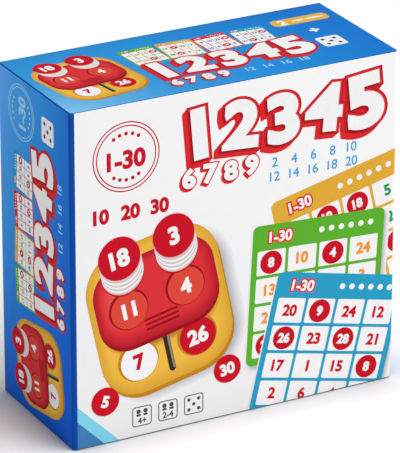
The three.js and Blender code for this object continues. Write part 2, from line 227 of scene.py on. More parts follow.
def length_setting(name, description, default):
    """A length that a user may change."""
    return FloatProperty(name=name, description=description, default=default, unit="LENGTH")


def angle_setting(name, description, degrees):
    """An angle that a user may change."""
    turn = math.radians(degrees)
    return FloatProperty(name=name, description=description, default=turn, subtype="ANGLE")


def strength_setting(name, description, default):
    """The strength of a light that a user may change."""
    return FloatProperty(name=name, description=description, default=default, min=0)


def colour_setting(name, description, default):
    """A colour that a user may change."""
    return FloatVectorProperty(
        name=name, description=description, default=default, subtype="COLOR", size=3
    )


def place_setting(name, description, default):
    """A place in the scene that a user may change."""
    return FloatVectorProperty(name=name, description=description, default=default, subtype="XYZ")


class BoxSettings(PropertyGroup):
    """Sizes and colours of the lid."""

    wall: length_setting("Wall", "Greyboard and wrap", 0.002)
    upright_radius: length_setting("Upright edge radius", "Rounding of the front's upright edges", 0.003)
    fold_radius: length_setting("Fold radius", "Rounding of the other folds", 0.001)
    rim_radius: length_setting("Rim radius", "Rounding of the open rim", 0.0004)
    turn_in: length_setting("Turn-in", "Wrap glued round the rim", 0.015)
    front_white: colour_setting("Front", "White of the front", tone(236, 236, 237))
    lining: colour_setting("Lining", "Paper inside the lid", tone(226, 223, 214))


class PrintSettings(PropertyGroup):
    """How the inks lie on the paper."""

    ink_step: length_setting("Ink step", "Height from one ink level to the next", 0.00002)
    ink_sink: length_setting("Ink sink", "How far an ink reaches into the paper", 0.00002)
    gloss: FloatProperty(
        name="Gloss",
        description="Specular level of the print",
        default=0.01,
        min=0,
        max=1,
        subtype="FACTOR",
    )
    corner_steps: IntProperty(name="Corner steps", description="Faces round a corner", default=9, min=1)
    disc_sides: IntProperty(name="Disc sides", description="Sides of a printed disc", default=40, min=8)


class DispenserSettings(PropertyGroup):
    """Finish of the moulded parts and of the tokens."""

    edge_radius: length_setting("Edge radius", "Rounding of moulded edges", 0.00035)
    base_yellow: colour_setting("Base", "Yellow plastic", tone(234, 178, 62))
    magazine_red: colour_setting("Magazine", "Red plastic", tone(192, 26, 38))
    token_edge: length_setting("Token edge", "Rounding of a punched edge", 0.00025)


class StageSettings(PropertyGroup):
    """Camera, lights and floor."""

    place: place_setting("Place", "Where the camera stands", (-1.1654, -2.1633, 1.1787))
    lens: FloatProperty(name="Lens", description="Focal length in mm", default=307.98)
    yaw: angle_setting("Yaw", "Camera's turn", 28.325)
    pitch: angle_setting("Pitch", "Looking down", 23.303)
    roll: angle_setting("Roll", "Camera's tilt", 0.138)
    key_from: place_setting("Key from", "Where the key light comes from", (1.45, -1.45, 2.6))
    key_spread: angle_setting("Key spread", "Angle that the key light fills", 56)
    key_power: strength_setting("Key", "Strength of the key light", 2.3)
    sky: strength_setting("Sky", "Strength of the white surround", 0.46)
    floor_width: length_setting("Floor", "Width of the floor", 12)


# Materials


def set_inputs(node, **values):
    """Sets a node's unlinked inputs by name."""
    for name, value in values.items():
        node.inputs[name.replace("_", " ")].default_value = value


def add_node(tree, kind, operation=None, **values):
    """Adds a node with its operation and its unlinked inputs."""
    node = tree.nodes.new(kind)
    if operation:
        node.operation = operation
    set_inputs(node, **values)
    return node


def link(tree, source, output, target, socket):
    """Joins an output of one node to a socket of the next."""
    tree.links.new(source.outputs[output], target.inputs[socket])


def start_material(name, colour, roughness, **values):
    """A new material with its Principled shader, more of whose inputs may be given."""
    material = bpy.data.materials.new(name)
    material.use_nodes = True
    material.diffuse_color = (*colour, 1)
    tree = material.node_tree
    shader = tree.nodes["Principled BSDF"]
    set_inputs(shader, Base_Color=(*colour, 1), Roughness=roughness, **values)
    return material, tree, shader


def object_noise(tree, scale, detail=3.0):
    """Noise on the object's own coordinates."""
    place = tree.nodes.new("ShaderNodeTexCoord")
    noise = add_node(tree, "ShaderNodeTexNoise", Scale=scale, Detail=detail)
    link(tree, place, "Object", noise, "Vector")
    return noise


def noise_between(tree, scale, low, high):
    """Noise spread between two values."""
    noise = object_noise(tree, scale)
    spread = add_node(
        tree, "ShaderNodeMapRange", From_Min=NOISE_LOW, From_Max=NOISE_HIGH, To_Min=low, To_Max=high
    )
    link(tree, noise, "Fac", spread, "Value")
    return spread


def mottle(tree, shader, colour, scale, amount, ramp=None):
    """Lets a colour, or the colours of a ramp in its place, vary a little over the surface."""
    spread = noise_between(tree, scale, 1 - amount, 1 + amount)
    scaled = add_node(tree, "ShaderNodeVectorMath", "SCALE")
    scaled.inputs[0].default_value = colour
    link(tree, spread, "Result", scaled, "Scale")
    if ramp is not None:
        link(tree, ramp, "Color", scaled, 0)
    link(tree, scaled, "Vector", shader, "Base Color")


def vary_roughness(tree, shader, low, high, scale):
    """Lets the gloss vary between two values."""
    link(tree, noise_between(tree, scale, low, high), "Result", shader, "Roughness")


def add_grain(tree, shader, scale, depth):
    """A fine unevenness of the surface."""
    noise = object_noise(tree, scale, detail=4.0)
    bump = add_node(tree, "ShaderNodeBump", Strength=1.0, Distance=depth)
    link(tree, noise, "Fac", bump, "Height")
    link(tree, bump, "Normal", shader, "Normal")


def finish_surface(tree, shader, colour, finish, ramp=None):
    """Gives a shader what its finish has: mottling, uneven gloss and grain."""
    mottling, roughness, grain = FINISHES[finish]
    mottle(tree, shader, colour, *mottling, ramp)
    if roughness:
        vary_roughness(tree, shader, *roughness)
    if grain:
        add_grain(tree, shader, *grain)


def finished_material(name, colour, finish, roughness, **values):
    """A material of one colour with its finish."""
    material, tree, shader = start_material(name, colour, roughness, **values)
    finish_surface(tree, shader, colour, finish)
    return material


def ink_material(name):
    """A printed ink, made once and shared by all its prints."""
    found = bpy.data.materials.get(f"ink_{name}")
    if found:
        return found
    gloss = bpy.context.scene.bingo_print.gloss
    return finished_material(f"ink_{name}", INKS[name], "ink", 0.45, Specular_IOR_Level=gloss)


def paper_material(name, colour, roughness, gloss=0.2):
    """Paper or card with fibres and a slight tooth."""
    return finished_material(name, colour, "paper", roughness, Specular_IOR_Level=gloss)


def greyboard_material(name):
    """The cut edge of greyboard, in layers of short fibres."""
    return finished_material(name, tone(178, 170, 156), "greyboard", 0.85)


def ramp_of(tree, stops):
    """A colour ramp with the given (place, colour) stops."""
    ramp = tree.nodes.new("ShaderNodeValToRGB")
    elements = ramp.color_ramp.elements
    for number, (place, colour) in enumerate(stops):
        element = elements[number] if number < 2 else elements.new(place)
        element.position = place
        element.color = (*colour, 1)
    return ramp


def start_wrap(name, colour):
    """A new material of the varnished paper round the box, still without its finish."""
    gloss = bpy.context.scene.bingo_print.gloss
    return start_material(name, colour, 0.4, Specular_IOR_Level=gloss)


def top_wrap_material():
    """Blue of the top, pale at its front left corner and deeper away from it."""
    deep = tone(20, 114, 200)
    depth_share = 0.52
    material, tree, shader = start_wrap("wrap_top", deep)
    place = tree.nodes.new("ShaderNodeTexCoord")
    shares = add_node(tree, "ShaderNodeVectorMath", "MULTIPLY_ADD")
    shares.inputs[1].default_value = (1 / LID_SIZE.x, depth_share / LID_SIZE.y, 0)
    shares.inputs[2].default_value = (0.5, depth_share / 2, 0)
    distance = add_node(tree, "ShaderNodeVectorMath", "LENGTH")
    stops = (
        (0.0, tone(126, 196, 236)),
        (0.14, tone(96, 174, 224)),
        (0.32, tone(57, 150, 214)),
        (0.62, tone(33, 140, 212)),
        (1.0, deep),
    )
    ramp = ramp_of(tree, stops)
    link(tree, place, "Object", shares, 0)
    link(tree, shares, "Vector", distance, 0)
    link(tree, distance, "Value", ramp, "Fac")
    finish_surface(tree, shader, deep, "wrap", ramp)
    return material


def side_wrap_material():
    """Blue of the sides: royal at the foot and the front, lighter towards the top and the back."""
    royal = tone(17, 84, 205)
    material, tree, shader = start_wrap("wrap_side", royal)
    place = tree.nodes.new("ShaderNodeTexCoord")
    axes = tree.nodes.new("ShaderNodeSeparateXYZ")
    both = add_node(tree, "ShaderNodeMath", "MULTIPLY")
    link(tree, place, "Object", axes, "Vector")
    reaches = (("Z", LID_LOW.z, LID_HIGH.z, 0.12), ("Y", LID_LOW.y, LID_HIGH.y, 0.3))
    for socket, (axis, low, high, least_share) in enumerate(reaches):
        reach = add_node(
            tree, "ShaderNodeMapRange", From_Min=low, From_Max=high, To_Min=least_share, To_Max=1
        )
        link(tree, axes, axis, reach, "Value")
        link(tree, reach, "Result", both, socket)
    stops = (
        (0.0, royal),
        (0.2, tone(29, 107, 213)),
        (0.58, tone(52, 149, 227)),
        (0.8, tone(76, 159, 237)),
        (1.0, tone(98, 167, 248)),
    )
    ramp = ramp_of(tree, stops)
    link(tree, both, "Value", ramp, "Fac")
    finish_surface(tree, shader, royal, "wrap", ramp)
    return material


def fold_wrap_material():
    """Deeper blue painted on the folds as the shade that falls over a rounded edge."""
    colour = tone(20, 78, 168)
    material, tree, shader = start_wrap("wrap_fold_shade", colour)
    finish_surface(tree, shader, colour, "wrap")
    return material


def plastic_material(name, colour):
    """Moulded plastic with a satin gloss and faint flow marks."""
    depths = (0.002, 0.001, 0.0006)
    return finished_material(
        name, colour, "plastic", 0.3, Subsurface_Weight=0.08, Subsurface_Radius=depths
    )


def steel_material():
    """Zinc plated steel of the keeper screws."""
    return finished_material("screw_steel", tone(186, 188, 192), "steel", 0.32, Metallic=1.0)


def floor_material():
    """A matt white floor with painted contact shade: a little greyer right beside what stands on it."""
    colour = tone(253, 253, 253)
    material, tree, shader = start_material("floor_white", colour, 0.95, Specular_IOR_Level=0.0)
    # Painted contact shade: ambient occlusion darkens the floor's colour close to the box
    reach = add_node(tree, "ShaderNodeAmbientOcclusion", Distance=0.035)
    reach.samples = 16
    ramp = ramp_of(tree, ((0.3, tone(196, 196, 198)), (1.0, colour)))
    link(tree, reach, "AO", ramp, "Fac")
    finish_surface(tree, shader, colour, "floor", ramp)
    return material


# Meshes


def add_object(name, data):
    """A new object in the scene."""
    made = bpy.data.objects.new(name, data)
    bpy.context.scene.collection.objects.link(made)
    return made


def mesh_of(solid, name):
    """A mesh made from a finished bmesh."""
    mesh = bpy.data.meshes.new(name)
    solid.to_mesh(mesh)
    solid.free()
    return mesh


def move_into(target, solid):
    """Moves all that a bmesh holds into another one."""
    carrier = mesh_of(solid, "carrier")
    target.from_mesh(carrier)
    bpy.data.meshes.remove(carrier)


def make_piece(name, solid, materials, body, nodes=()):
    """Turns a finished bmesh into a piece that rides on its body."""
    piece = add_object(name, mesh_of(solid, name))
    for material in materials:
        piece.data.materials.append(material)
    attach(piece, body)
    if nodes:
        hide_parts(*nodes)
    return piece


def smooth_by_angle(piece, degrees=35):
    """Shades a piece smooth and keeps its sharp folds."""
    mesh = piece.data
    mesh.shade_smooth()
    mesh.set_sharp_from_angle(angle=math.radians(degrees))


def merge_flat(solid):
    """Merges faces that lie in one plane."""
    bmesh.ops.dissolve_limit(solid, verts=solid.verts, edges=solid.edges, angle_limit=MERGE_ANGLE)


def merged_copy(node):
    """A copy of a CAD node's mesh with its loose triangles merged into one closed surface."""
    solid = bmesh.new()
    solid.from_mesh(frame["nodes"][node].data)
    bmesh.ops.remove_doubles(solid, verts=solid.verts, dist=POINT_SLACK)
    bmesh.ops.dissolve_degenerate(solid, edges=solid.edges, dist=SLIVER_SLACK)
    merge_flat(solid)
    bmesh.ops.recalc_face_normals(solid, faces=solid.faces)
    return solid


def round_edges(piece, width, segments=2, degrees=32):
    """Rounds a piece's sharp edges with a live bevel."""
    bevel = piece.modifiers.new("rounded_edges", "BEVEL")
    bevel.width = width
    bevel.segments = segments
    bevel.limit_method = "ANGLE"
    bevel.angle_limit = math.radians(degrees)
    bevel.use_clamp_overlap = True
    bevel.harden_normals = False


def round_off(solid, geom, radius, steps, affect="EDGES"):
    """Rounds some edges of a bmesh, or its corners."""
    bmesh.ops.bevel(
        solid, geom=geom, offset=radius, segments=steps, profile=0.5, affect=affect, material=-1
    )


def cut(solid, corner, outward, slack, clear=False):
    """Cuts a bmesh along a plane, and may take off what lies beyond."""
    everything = solid.verts[:] + solid.edges[:] + solid.faces[:]
    bmesh.ops.bisect_plane(
        solid, geom=everything, dist=slack, plane_co=corner, plane_no=outward, clear_outer=clear
    )


def box_solid(solid, low, high):
    """Adds a block between two corners and gives its faces."""
    size = high - low
    place = Matrix.Translation((low + high) / 2) @ Matrix.Diagonal((*size, 1))
    made = bmesh.ops.create_cube(solid, size=1.0, matrix=place)
    return list({face for vert in made["verts"] for face in vert.link_faces})


def edges_along(faces, direction):
    """The edges of some faces that run along a direction."""
    edges = {edge for face in faces for edge in face.edges}
    runs = {edge: (edge.verts[0].co - edge.verts[1].co).normalized() for edge in edges}
    return [edge for edge, run in runs.items() if abs(run.dot(direction)) > ALONG_SHARE]


def is_fold(edge):
    """Whether the two faces at an edge meet in a fold."""
    return edge.calc_face_angle(0) > FOLD_ANGLE


def dress(node, name, material, body, slot, radius):
    """Dresses a CAD node as one piece with rounded edges."""
    piece = make_piece(name, merged_copy(node), [material], body, [node])
    round_edges(piece, radius)
    smooth_by_angle(piece)


# Flat shapes, in millimetres round their own centre


def turned(x=0.0, y=0.0, degrees=0.0, scale=1.0):
    """Where a shape lies on its page."""
    place = Matrix.Translation((x, y, 0)) @ Matrix.Rotation(math.radians(degrees), 4, "Z")
    return place @ Matrix.Diagonal((scale, scale, 1, 1))


def disc(radius):
    """A round patch."""
    flat = bmesh.new()
    sides = bpy.context.scene.bingo_print.disc_sides
    bmesh.ops.create_circle(flat, cap_ends=True, radius=radius, segments=sides)
    return flat


def tile(width, height, radius):
    """A rectangle with round corners."""
    flat = bmesh.new()
    bmesh.ops.create_grid(flat, x_segments=1, y_segments=1, size=0.5)
    bmesh.ops.scale(flat, vec=(width, height, 1), verts=flat.verts)
    radius = min(radius, WIDEST_CORNER_SHARE * min(width, height))
    round_off(flat, flat.verts[:], radius, bpy.context.scene.bingo_print.corner_steps, "VERTICES")
    return flat


def band(flat, line):
    """Keeps only the outer band of a patch."""
    inner = flat.faces[:]
    bmesh.ops.inset_individual(flat, faces=inner, thickness=line, use_even_offset=True)
    bmesh.ops.delete(flat, geom=inner, context="FACES")
    return flat


# Flat numbers made so far, and a digit's height in Blender's own font of size one
GLYPHS = {}
DIGIT_HEIGHT = 0.72

# In the units of a flat number: how near points count as one, and how small an area counts as none
GLYPH_SLACK = 1e-5
GLYPH_SLIVER = 1e-6

# How far a bold corner may reach out, as a share of the band round the outline, and how little an
# outline may turn at a corner, as a share of the band's square
CORNER_REACH_SHARE = 1.6
LEAST_TURN_SHARE = 0.001


def outline_of(flat):
    """Each corner of a flat shape's outline with the next one. The shape lies to their left."""
    rim = [edge.link_loops[0] for edge in flat.edges if edge.is_boundary]
    return {loop.vert: loop.link_loop_next.vert for loop in rim}


def join_patches(patches):
    """One flat shape with no overlaps in it, from the corners of patches that may overlap."""
    points = []
    rings = []
    for corners in patches:
        rings.append(list(range(len(points), len(points) + len(corners))))
        points.extend(corner.to_2d() for corner in corners)
    places, _, triangles, _, _, sources = delaunay_2d_cdt(points, [], rings, 0, GLYPH_SLACK)
    shape = bmesh.new()
    verts = [shape.verts.new((*place, 0)) for place in places]
    for triangle, covers in zip(triangles, sources):
        if covers:
            shape.faces.new([verts[index] for index in triangle])
    loose = [vert for vert in shape.verts if not vert.link_faces]
    bmesh.ops.delete(shape, geom=loose, context="VERTS")
    merge_flat(shape)
    return shape


def corners_of(flat):
    """The corners of each face of a flat shape, slivers left out."""
    faces = [face for face in flat.faces if face.calc_area() > GLYPH_SLIVER]
    return [[vert.co for vert in face.verts] for face in faces]


def plain_number(body):
    """A number's flat shape in Blender's own font, one unit tall and centred."""
    curve = bpy.data.curves.new("number", "FONT")
    curve.body = body
    curve.resolution_u = 8
    text = add_object("number", curve)
    bpy.context.view_layer.update()
    mesh = bpy.data.meshes.new_from_object(text)
    bpy.data.objects.remove(text)
    bpy.data.curves.remove(curve)
    flat = bmesh.new()
    flat.from_mesh(mesh)
    bpy.data.meshes.remove(mesh)
    bmesh.ops.remove_doubles(flat, verts=flat.verts, dist=GLYPH_SLACK)
    low, high = (Vector(pick(v.co[i] for v in flat.verts) for i in range(3)) for pick in (min, max))
    bmesh.ops.translate(flat, vec=-(low + high) / 2, verts=flat.verts)
    bmesh.ops.scale(flat, vec=(1 / DIGIT_HEIGHT, 1 / DIGIT_HEIGHT, 1), verts=flat.verts)
    return flat


def embolden(flat, width):
    """A flat shape with a band added all round its outline."""
    patches = corners_of(flat)
    ahead = outline_of(flat)
    for start, middle in ahead.items():
        corner = middle.co
        side = (corner - start.co).cross(UP).normalized() * width
        next_side = (ahead[middle].co - corner).cross(UP).normalized() * width
        patches.append([start.co, start.co + side, corner + side, corner])
        if side.cross(next_side).z > LEAST_TURN_SHARE * width * width:
            reach = min(width / math.cos(side.angle(next_side) / 2), CORNER_REACH_SHARE * width)
            tip = (side + next_side).normalized() * reach
            patches.append([corner, corner + side, corner + tip, corner + next_side])
    return join_patches(patches)


def sweep(flat, shift):
    """The ground that a flat shape covers while it slides along a shift."""
    patches = corners_of(flat)
    patches += [[corner + shift for corner in corners] for corners in patches]
    for start, end in outline_of(flat).items():
        ring = [start.co, end.co, end.co + shift, start.co + shift]
        turn = (end.co - start.co).cross(shift).z
        if abs(turn) > GLYPH_SLIVER:
            patches.append(ring if turn > 0 else ring[::-1])
    return join_patches(patches)


def number_shape(body, bold, drop):
    """A bold number's flat shape, drawn out to the lower left if it has a drop."""
    key = (body, bold, drop)
    if key not in GLYPHS:
        plain = plain_number(body)
        shape = embolden(plain, bold)
        plain.free()
        if drop:
            upper = shape
            shape = sweep(upper, Vector((-drop, -drop, 0)))
            upper.free()
        GLYPHS[key] = mesh_of(shape, "number")
    return GLYPHS[key]


class Page:
    """One printed face, laid out in millimetres from its lower left corner."""

    def __init__(self, name, corner, right, up, width, height, border=0.0):
        axes = Matrix((right, up, right.cross(up))).transposed().to_4x4()
        self.name = name
        self.place = Matrix.Translation(corner) @ axes @ Matrix.Scale(MM, 4)
        self.width = width
        self.height = height
        self.low = Vector((border, border, 0))
        self.high = Vector((width - border, height - border, 0))
        self.bend_start = width
        self.bend_radius = 0.0
        self.inks = {}
        settings = bpy.context.scene.bingo_print
        self.step = settings.ink_step / MM
        self.sink = settings.ink_sink / MM

    def patch(self, flat, ink, level, place):
        """Prints a flat shape, cut off where it runs over the page's border."""
        bmesh.ops.transform(flat, matrix=place, verts=flat.verts)
        self.cut_at_borders(flat)
        if not flat.faces:
            flat.free()
            return
        grown = bmesh.ops.extrude_face_region(flat, geom=flat.faces[:])
        raised = [item for item in grown["geom"] if isinstance(item, bmesh.types.BMVert)]
        bmesh.ops.translate(flat, vec=(0, 0, -self.sink), verts=flat.verts)
        bmesh.ops.translate(flat, vec=(0, 0, self.sink + level * self.step), verts=raised)
        bmesh.ops.recalc_face_normals(flat, faces=flat.faces)
        if ink not in self.inks:
            self.inks[ink] = bmesh.new()
        move_into(self.inks[ink], flat)

    def cut_at_borders(self, shape):
        """Takes off what lies outside the page."""
        borders = ((self.low, -RIGHT), (self.low, -BACK), (self.high, RIGHT), (self.high, BACK))
        for corner, outward in borders:
            if any((vert.co - corner).dot(outward) >= 0 for vert in shape.verts):
                cut(shape, corner, outward, CUT_SLACK, clear=True)

    def bend_round(self, solid):
        """Bends what reaches past the page's flat part round the box's upright edge."""
        for step in range(BEND_LINES):
            reach = step * BEND_PITCH_SHARE * self.bend_radius
            cut(solid, Vector((self.bend_start + reach, 0, 0)), RIGHT, BEND_SLACK)
        for vert in solid.verts:
            angle = (vert.co.x - self.bend_start) / self.bend_radius
            if angle > 0:
                reach = self.bend_radius + vert.co.z
                vert.co.x = self.bend_start + reach * math.sin(angle)
                vert.co.z = reach * math.cos(angle) - self.bend_radius

    def number(self, body, height, ink, level, place, bold=0.05, widen=1.0, drop=0.0):
        """Prints a number of the given digit height. Its bold and drop are shares of that height."""
        flat = bmesh.new()
        flat.from_mesh(number_shape(body, bold, drop))
        self.patch(flat, ink, level, place @ Matrix.Diagonal((height * widen, height, 1, 1)))

    def finish(self, body, slot):
        """Makes one piece of each ink, in its place on the object."""
        for name, solid in self.inks.items():
            if self.bend_radius:
                self.bend_round(solid)
            bmesh.ops.transform(solid, matrix=self.place, verts=solid.verts)
            make_piece(f"{self.name}_{name}", solid, [ink_material(name)], body)


def page_over(node, name):
    """A page that covers the front of a CAD node."""
    low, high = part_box(node)
    size = (high - low) / MM
    return Page(name, low, RIGHT, UP, size.x, size.z)


# Motifs of the prints


def print_bars(page, place, lengths, height, ink, level):
    """A line of round-ended bars."""
    x = 0.0
    for length in lengths:
        page.patch(tile(length, height, height / 2), ink, level, place @ turned(x + length / 2, 0))
        x += length + BAR_GAP_SHARE * height


def print_row(page, values, place, pitch, height, ink, bold):
    """A row of small numbers."""
    for number, value in enumerate(values):
        page.number(str(value), height, ink, 1, place @ turned(pitch * number, 0), bold)


def print_title_number(page, body, place, height, level, widen=1.0):
    """A white number on a thick red ground that drops to the lower left, shaded next to the white."""
    # Each layer: its ink, its rise in levels, and how bold it is and how far it drops
    layers = (
        ("title_red", 0.0, 0.13, 0.105),
        ("title_rim", 1.0, 0.14, 0.0),
        ("title_red", 1.5, 0.115, 0.0),
        ("title_shade", 2.0, 0.075, 0.036),
        ("white", 3.0, 0.075, 0.0),
    )
    for ink, rise, bold, drop in layers:
        page.number(body, height, ink, level + rise, place, bold, widen, drop)


def print_title(page, place, pitch, height, level):
    """A lively row of title numbers, each a little turned and shifted."""
    tilts = (5, -4, 3, -5, 6)
    lifts = (0.0, 0.03, -0.02, 0.03, 0.0)
    sizes = (1.0, 0.95, 0.98, 0.94, 1.08)
    for number, (body, tilt, lift, size) in enumerate(zip(TITLE_NUMBERS, tilts, lifts, sizes)):
        spot = place @ turned(number * pitch, lift * height, tilt)
        print_title_number(page, body, spot, height * size, level + 0.1 * (number % 2), widen=1.16)


def print_small_title(page, place, pitch, height, level, lift=0.0):
    """The row of smaller title numbers, turned to and fro."""
    for number, body in enumerate(SMALL_TITLE_NUMBERS):
        odd = number % 2
        spot = place @ turned(pitch * number, lift * odd, -3 if odd else 3)
        print_title_number(page, body, spot, height, level, widen=1.1)


def print_badge(page, place, radius, ink):
    """Two thin rings round the range of the numbers and two rows of pips."""
    for share in (1.0, 0.9):
        page.patch(band(disc(share * radius), RING_LINE_SHARE * radius), ink, 2, place)
    page.number(RANGE_LABEL, 0.5 * radius, ink, 2, place @ turned(0, -0.08 * radius), bold=0.06)
    for side in (90, 270):
        for number in range(-2, 3):
            angle = math.radians(side + 17 * number)
            spot = turned(0.66 * radius * math.cos(angle), 0.66 * radius * math.sin(angle))
            page.patch(disc(0.055 * radius), ink, 2, place @ spot)


def print_pillow(page, place, size, corner, family, level, border, drift=(0.0, 0.0)):
    """Nested patches in even steps of tone, so that a pictured shape looks rounded."""
    for step in range(SHADING_STEPS):
        share = step / (SHADING_STEPS - 1)
        trim = border * share
        patch = tile(size[0] - 2 * trim, size[1] - 2 * trim, max(corner - trim, 0.2 * corner))
        spot = place @ turned(drift[0] * share, drift[1] * share)
        page.patch(patch, f"{family}_{step}", level + 0.25 * step, spot)


def print_token(page, body, place, radius, level, face="token_red", number="white"):
    """A round token with its number."""
    page.patch(disc(radius), face, level, place)
    page.number(body, 0.78 * radius, number, level + 1, place, bold=0.07)


def print_card(page, place, size, scheme, numbers, marked, level, rows=4, shade=True):
    """A playing board: a coloured frame, a header and white cells with numbers or tokens."""
    width, height = size
    frame_ink, number_ink = SCHEMES[scheme]
    corner = 0.045 * width
    header = 0.17 * width
    gap = 0.022 * width
    cell_width = (width - (CARD_COLUMNS + 1) * gap - 0.04 * width) / CARD_COLUMNS
    cell_height = (height - header - (rows + 1) * gap - 0.02 * width) / rows
    if shade:
        spot = place @ turned(0.016 * width, -0.026 * width)
        spread = (1.05 * width, 1.05 * height)
        print_pillow(page, spot, spread, 1.6 * corner, "drop", level - 2, border=0.04 * width)
    page.patch(tile(width, height, corner), frame_ink, level + 1, place)
    top = height / 2 - 0.53 * header
    spot = place @ turned(-0.29 * width, top)
    page.number(RANGE_LABEL, 0.44 * header, "title_red", level + 2, spot, bold=0.2)
    page.number(RANGE_LABEL, 0.44 * header, "white", level + 3, spot)
    for number in range(6):
        pip = turned((0.02 + 0.075 * number) * width, top)
        page.patch(disc(0.021 * width), "white", level + 2, place @ pip)
    for index in range(rows * CARD_COLUMNS):
        row, column = divmod(index, CARD_COLUMNS)
        x = (column - (CARD_COLUMNS - 1) / 2) * (cell_width + gap)
        y = height / 2 - header - (row + 0.5) * (cell_height + gap)
        spot = place @ turned(x, y)
        page.patch(tile(cell_width, cell_height, 0.25 * corner), "white", level + 2, spot)
        if index in marked:
            radius = 0.47 * min(cell_width, cell_height)
            print_token(page, str(numbers[index]), spot, radius, level + 3)
        else:
            digit_height = min(0.44 * cell_height, 0.5 * cell_width)
            page.number(str(numbers[index]), digit_height, number_ink, level + 3, spot, bold=0.06)


def board_numbers(seed, count=CARD_CELLS):
    """The game's numbers in a fixed random order."""
    return random.Random(seed).sample(range(1, HIGHEST_NUMBER + 1), count)


def print_dispenser(page, place, level, shade=True):
    """The dispenser seen from above, 112 mm tall at full size: yellow base, red magazine, tokens."""
    base, base_corner = (102, 112), 30
    hood, hood_corner = (93, 64), 23
    if shade:
        print_pillow(page, place @ turned(6, -7), (112, 120), 36, "drop", level - 2, border=9)
    # The base with its hollow
    page.patch(tile(*base, base_corner), "yellow_rim", level + 0.2, place @ turned(1, -3.2))
    lift = (-1.5, 2.5)
    print_pillow(page, place, base, base_corner, "yellow", level + 0.5, border=9, drift=lift)
    print_pillow(page, place @ turned(1, 7), (92, 66), 24, "shadow", level + 2.5, border=5)
    # The slot, and a token in a pocket at each side of it
    page.patch(tile(5, 46, 2.4), "slot_dark", level + 4.6, place @ turned(0, -26))
    page.patch(tile(1.6, 42, 0.8), "slot_light", level + 5.2, place @ turned(1.4, -26))
    for x, body, face, number in ((-23, "7", "white", "token_red"), (23, "26", "token_red", "white")):
        page.patch(disc(15.4), "yellow_rim", level + 4.2, place @ turned(x - 0.5, -30.5))
        print_token(page, body, place @ turned(x, -31.5), 14, level + 5, face, number)
    # The magazine's hood with its ridges and its windows
    page.patch(tile(*hood, hood_corner), "title_shade", level + 8, place @ turned(0, 11))
    spot = place @ turned(0, 13.5)
    lift = (-1.2, 2)
    print_pillow(page, spot, hood, hood_corner, "hood", level + 8.3, border=8, drift=lift)
    print_pillow(page, place @ turned(-27, 16), (30, 44), 15, "glow", level + 10.2, border=11)
    for ridge in range(3):
        spot = place @ turned(0, -3.4 - 3.6 * ridge)
        page.patch(tile(26, 1.7, 0.8), "title_shade", level + 12.2, spot)
    for x, body in ((-22, "11"), (22, "4")):
        window = place @ turned(x, 9)
        page.patch(disc(15), "title_shade", level + 12.2, place @ turned(x - 0.4, 9.8))
        page.patch(disc(13.8), "window_red", level + 12.8, window)
        page.number(body, 11, "white", level + 13.4, window, bold=0.07)
    # The two stacks of tokens
    for x, body in ((-21, "18"), (21, "3")):
        for sheet in range(8):
            spot = place @ turned(x, 36.5 + 1.5 * sheet)
            ink = "token_red" if sheet == 0 else ("white", "sheet_edge")[sheet % 2]
            page.patch(disc(16), ink, level + 14 + 0.4 * sheet, spot)
        print_token(page, body, place @ turned(x, 49), 15.8, level + 18)


def sign_outline(side):
    """The line round a square sign."""
    return band(tile(side, side, SIGN_CORNER_SHARE * side), SIGN_LINE_SHARE * side)


def print_pips(page, place, side, ground=None):
    """Five pips in a square, on a ground of its own or in a grey line."""
    if ground:
        page.patch(tile(side, side, SIGN_CORNER_SHARE * side), ground, 1, place)
    else:
        page.patch(sign_outline(side), "grey", 1, place)
    for x, y in ((-1, -1), (-1, 1), (0, 0), (1, -1), (1, 1)):
        spot = place @ turned(0.25 * side * x, 0.25 * side * y)
        page.patch(disc(0.085 * side), "grey", 2, spot)


def print_sign(page, place, side, body):
    """A square sign with a number and two round heads over it."""
    page.patch(sign_outline(side), "grey", 1, place)
    page.number(body, 0.3 * side, "grey", 2, place @ turned(0, -0.22 * side), bold=0.04)
    for x in (-0.18, 0.18):
        head = place @ turned(x * side, 0.25 * side)
        shoulders = place @ turned(x * side, 0.07 * side)
        page.patch(disc(0.11 * side), "grey", 2, head)
        page.patch(tile(0.22 * side, 0.11 * side, 0.04 * side), "grey", 2, shoulders)


# Operators


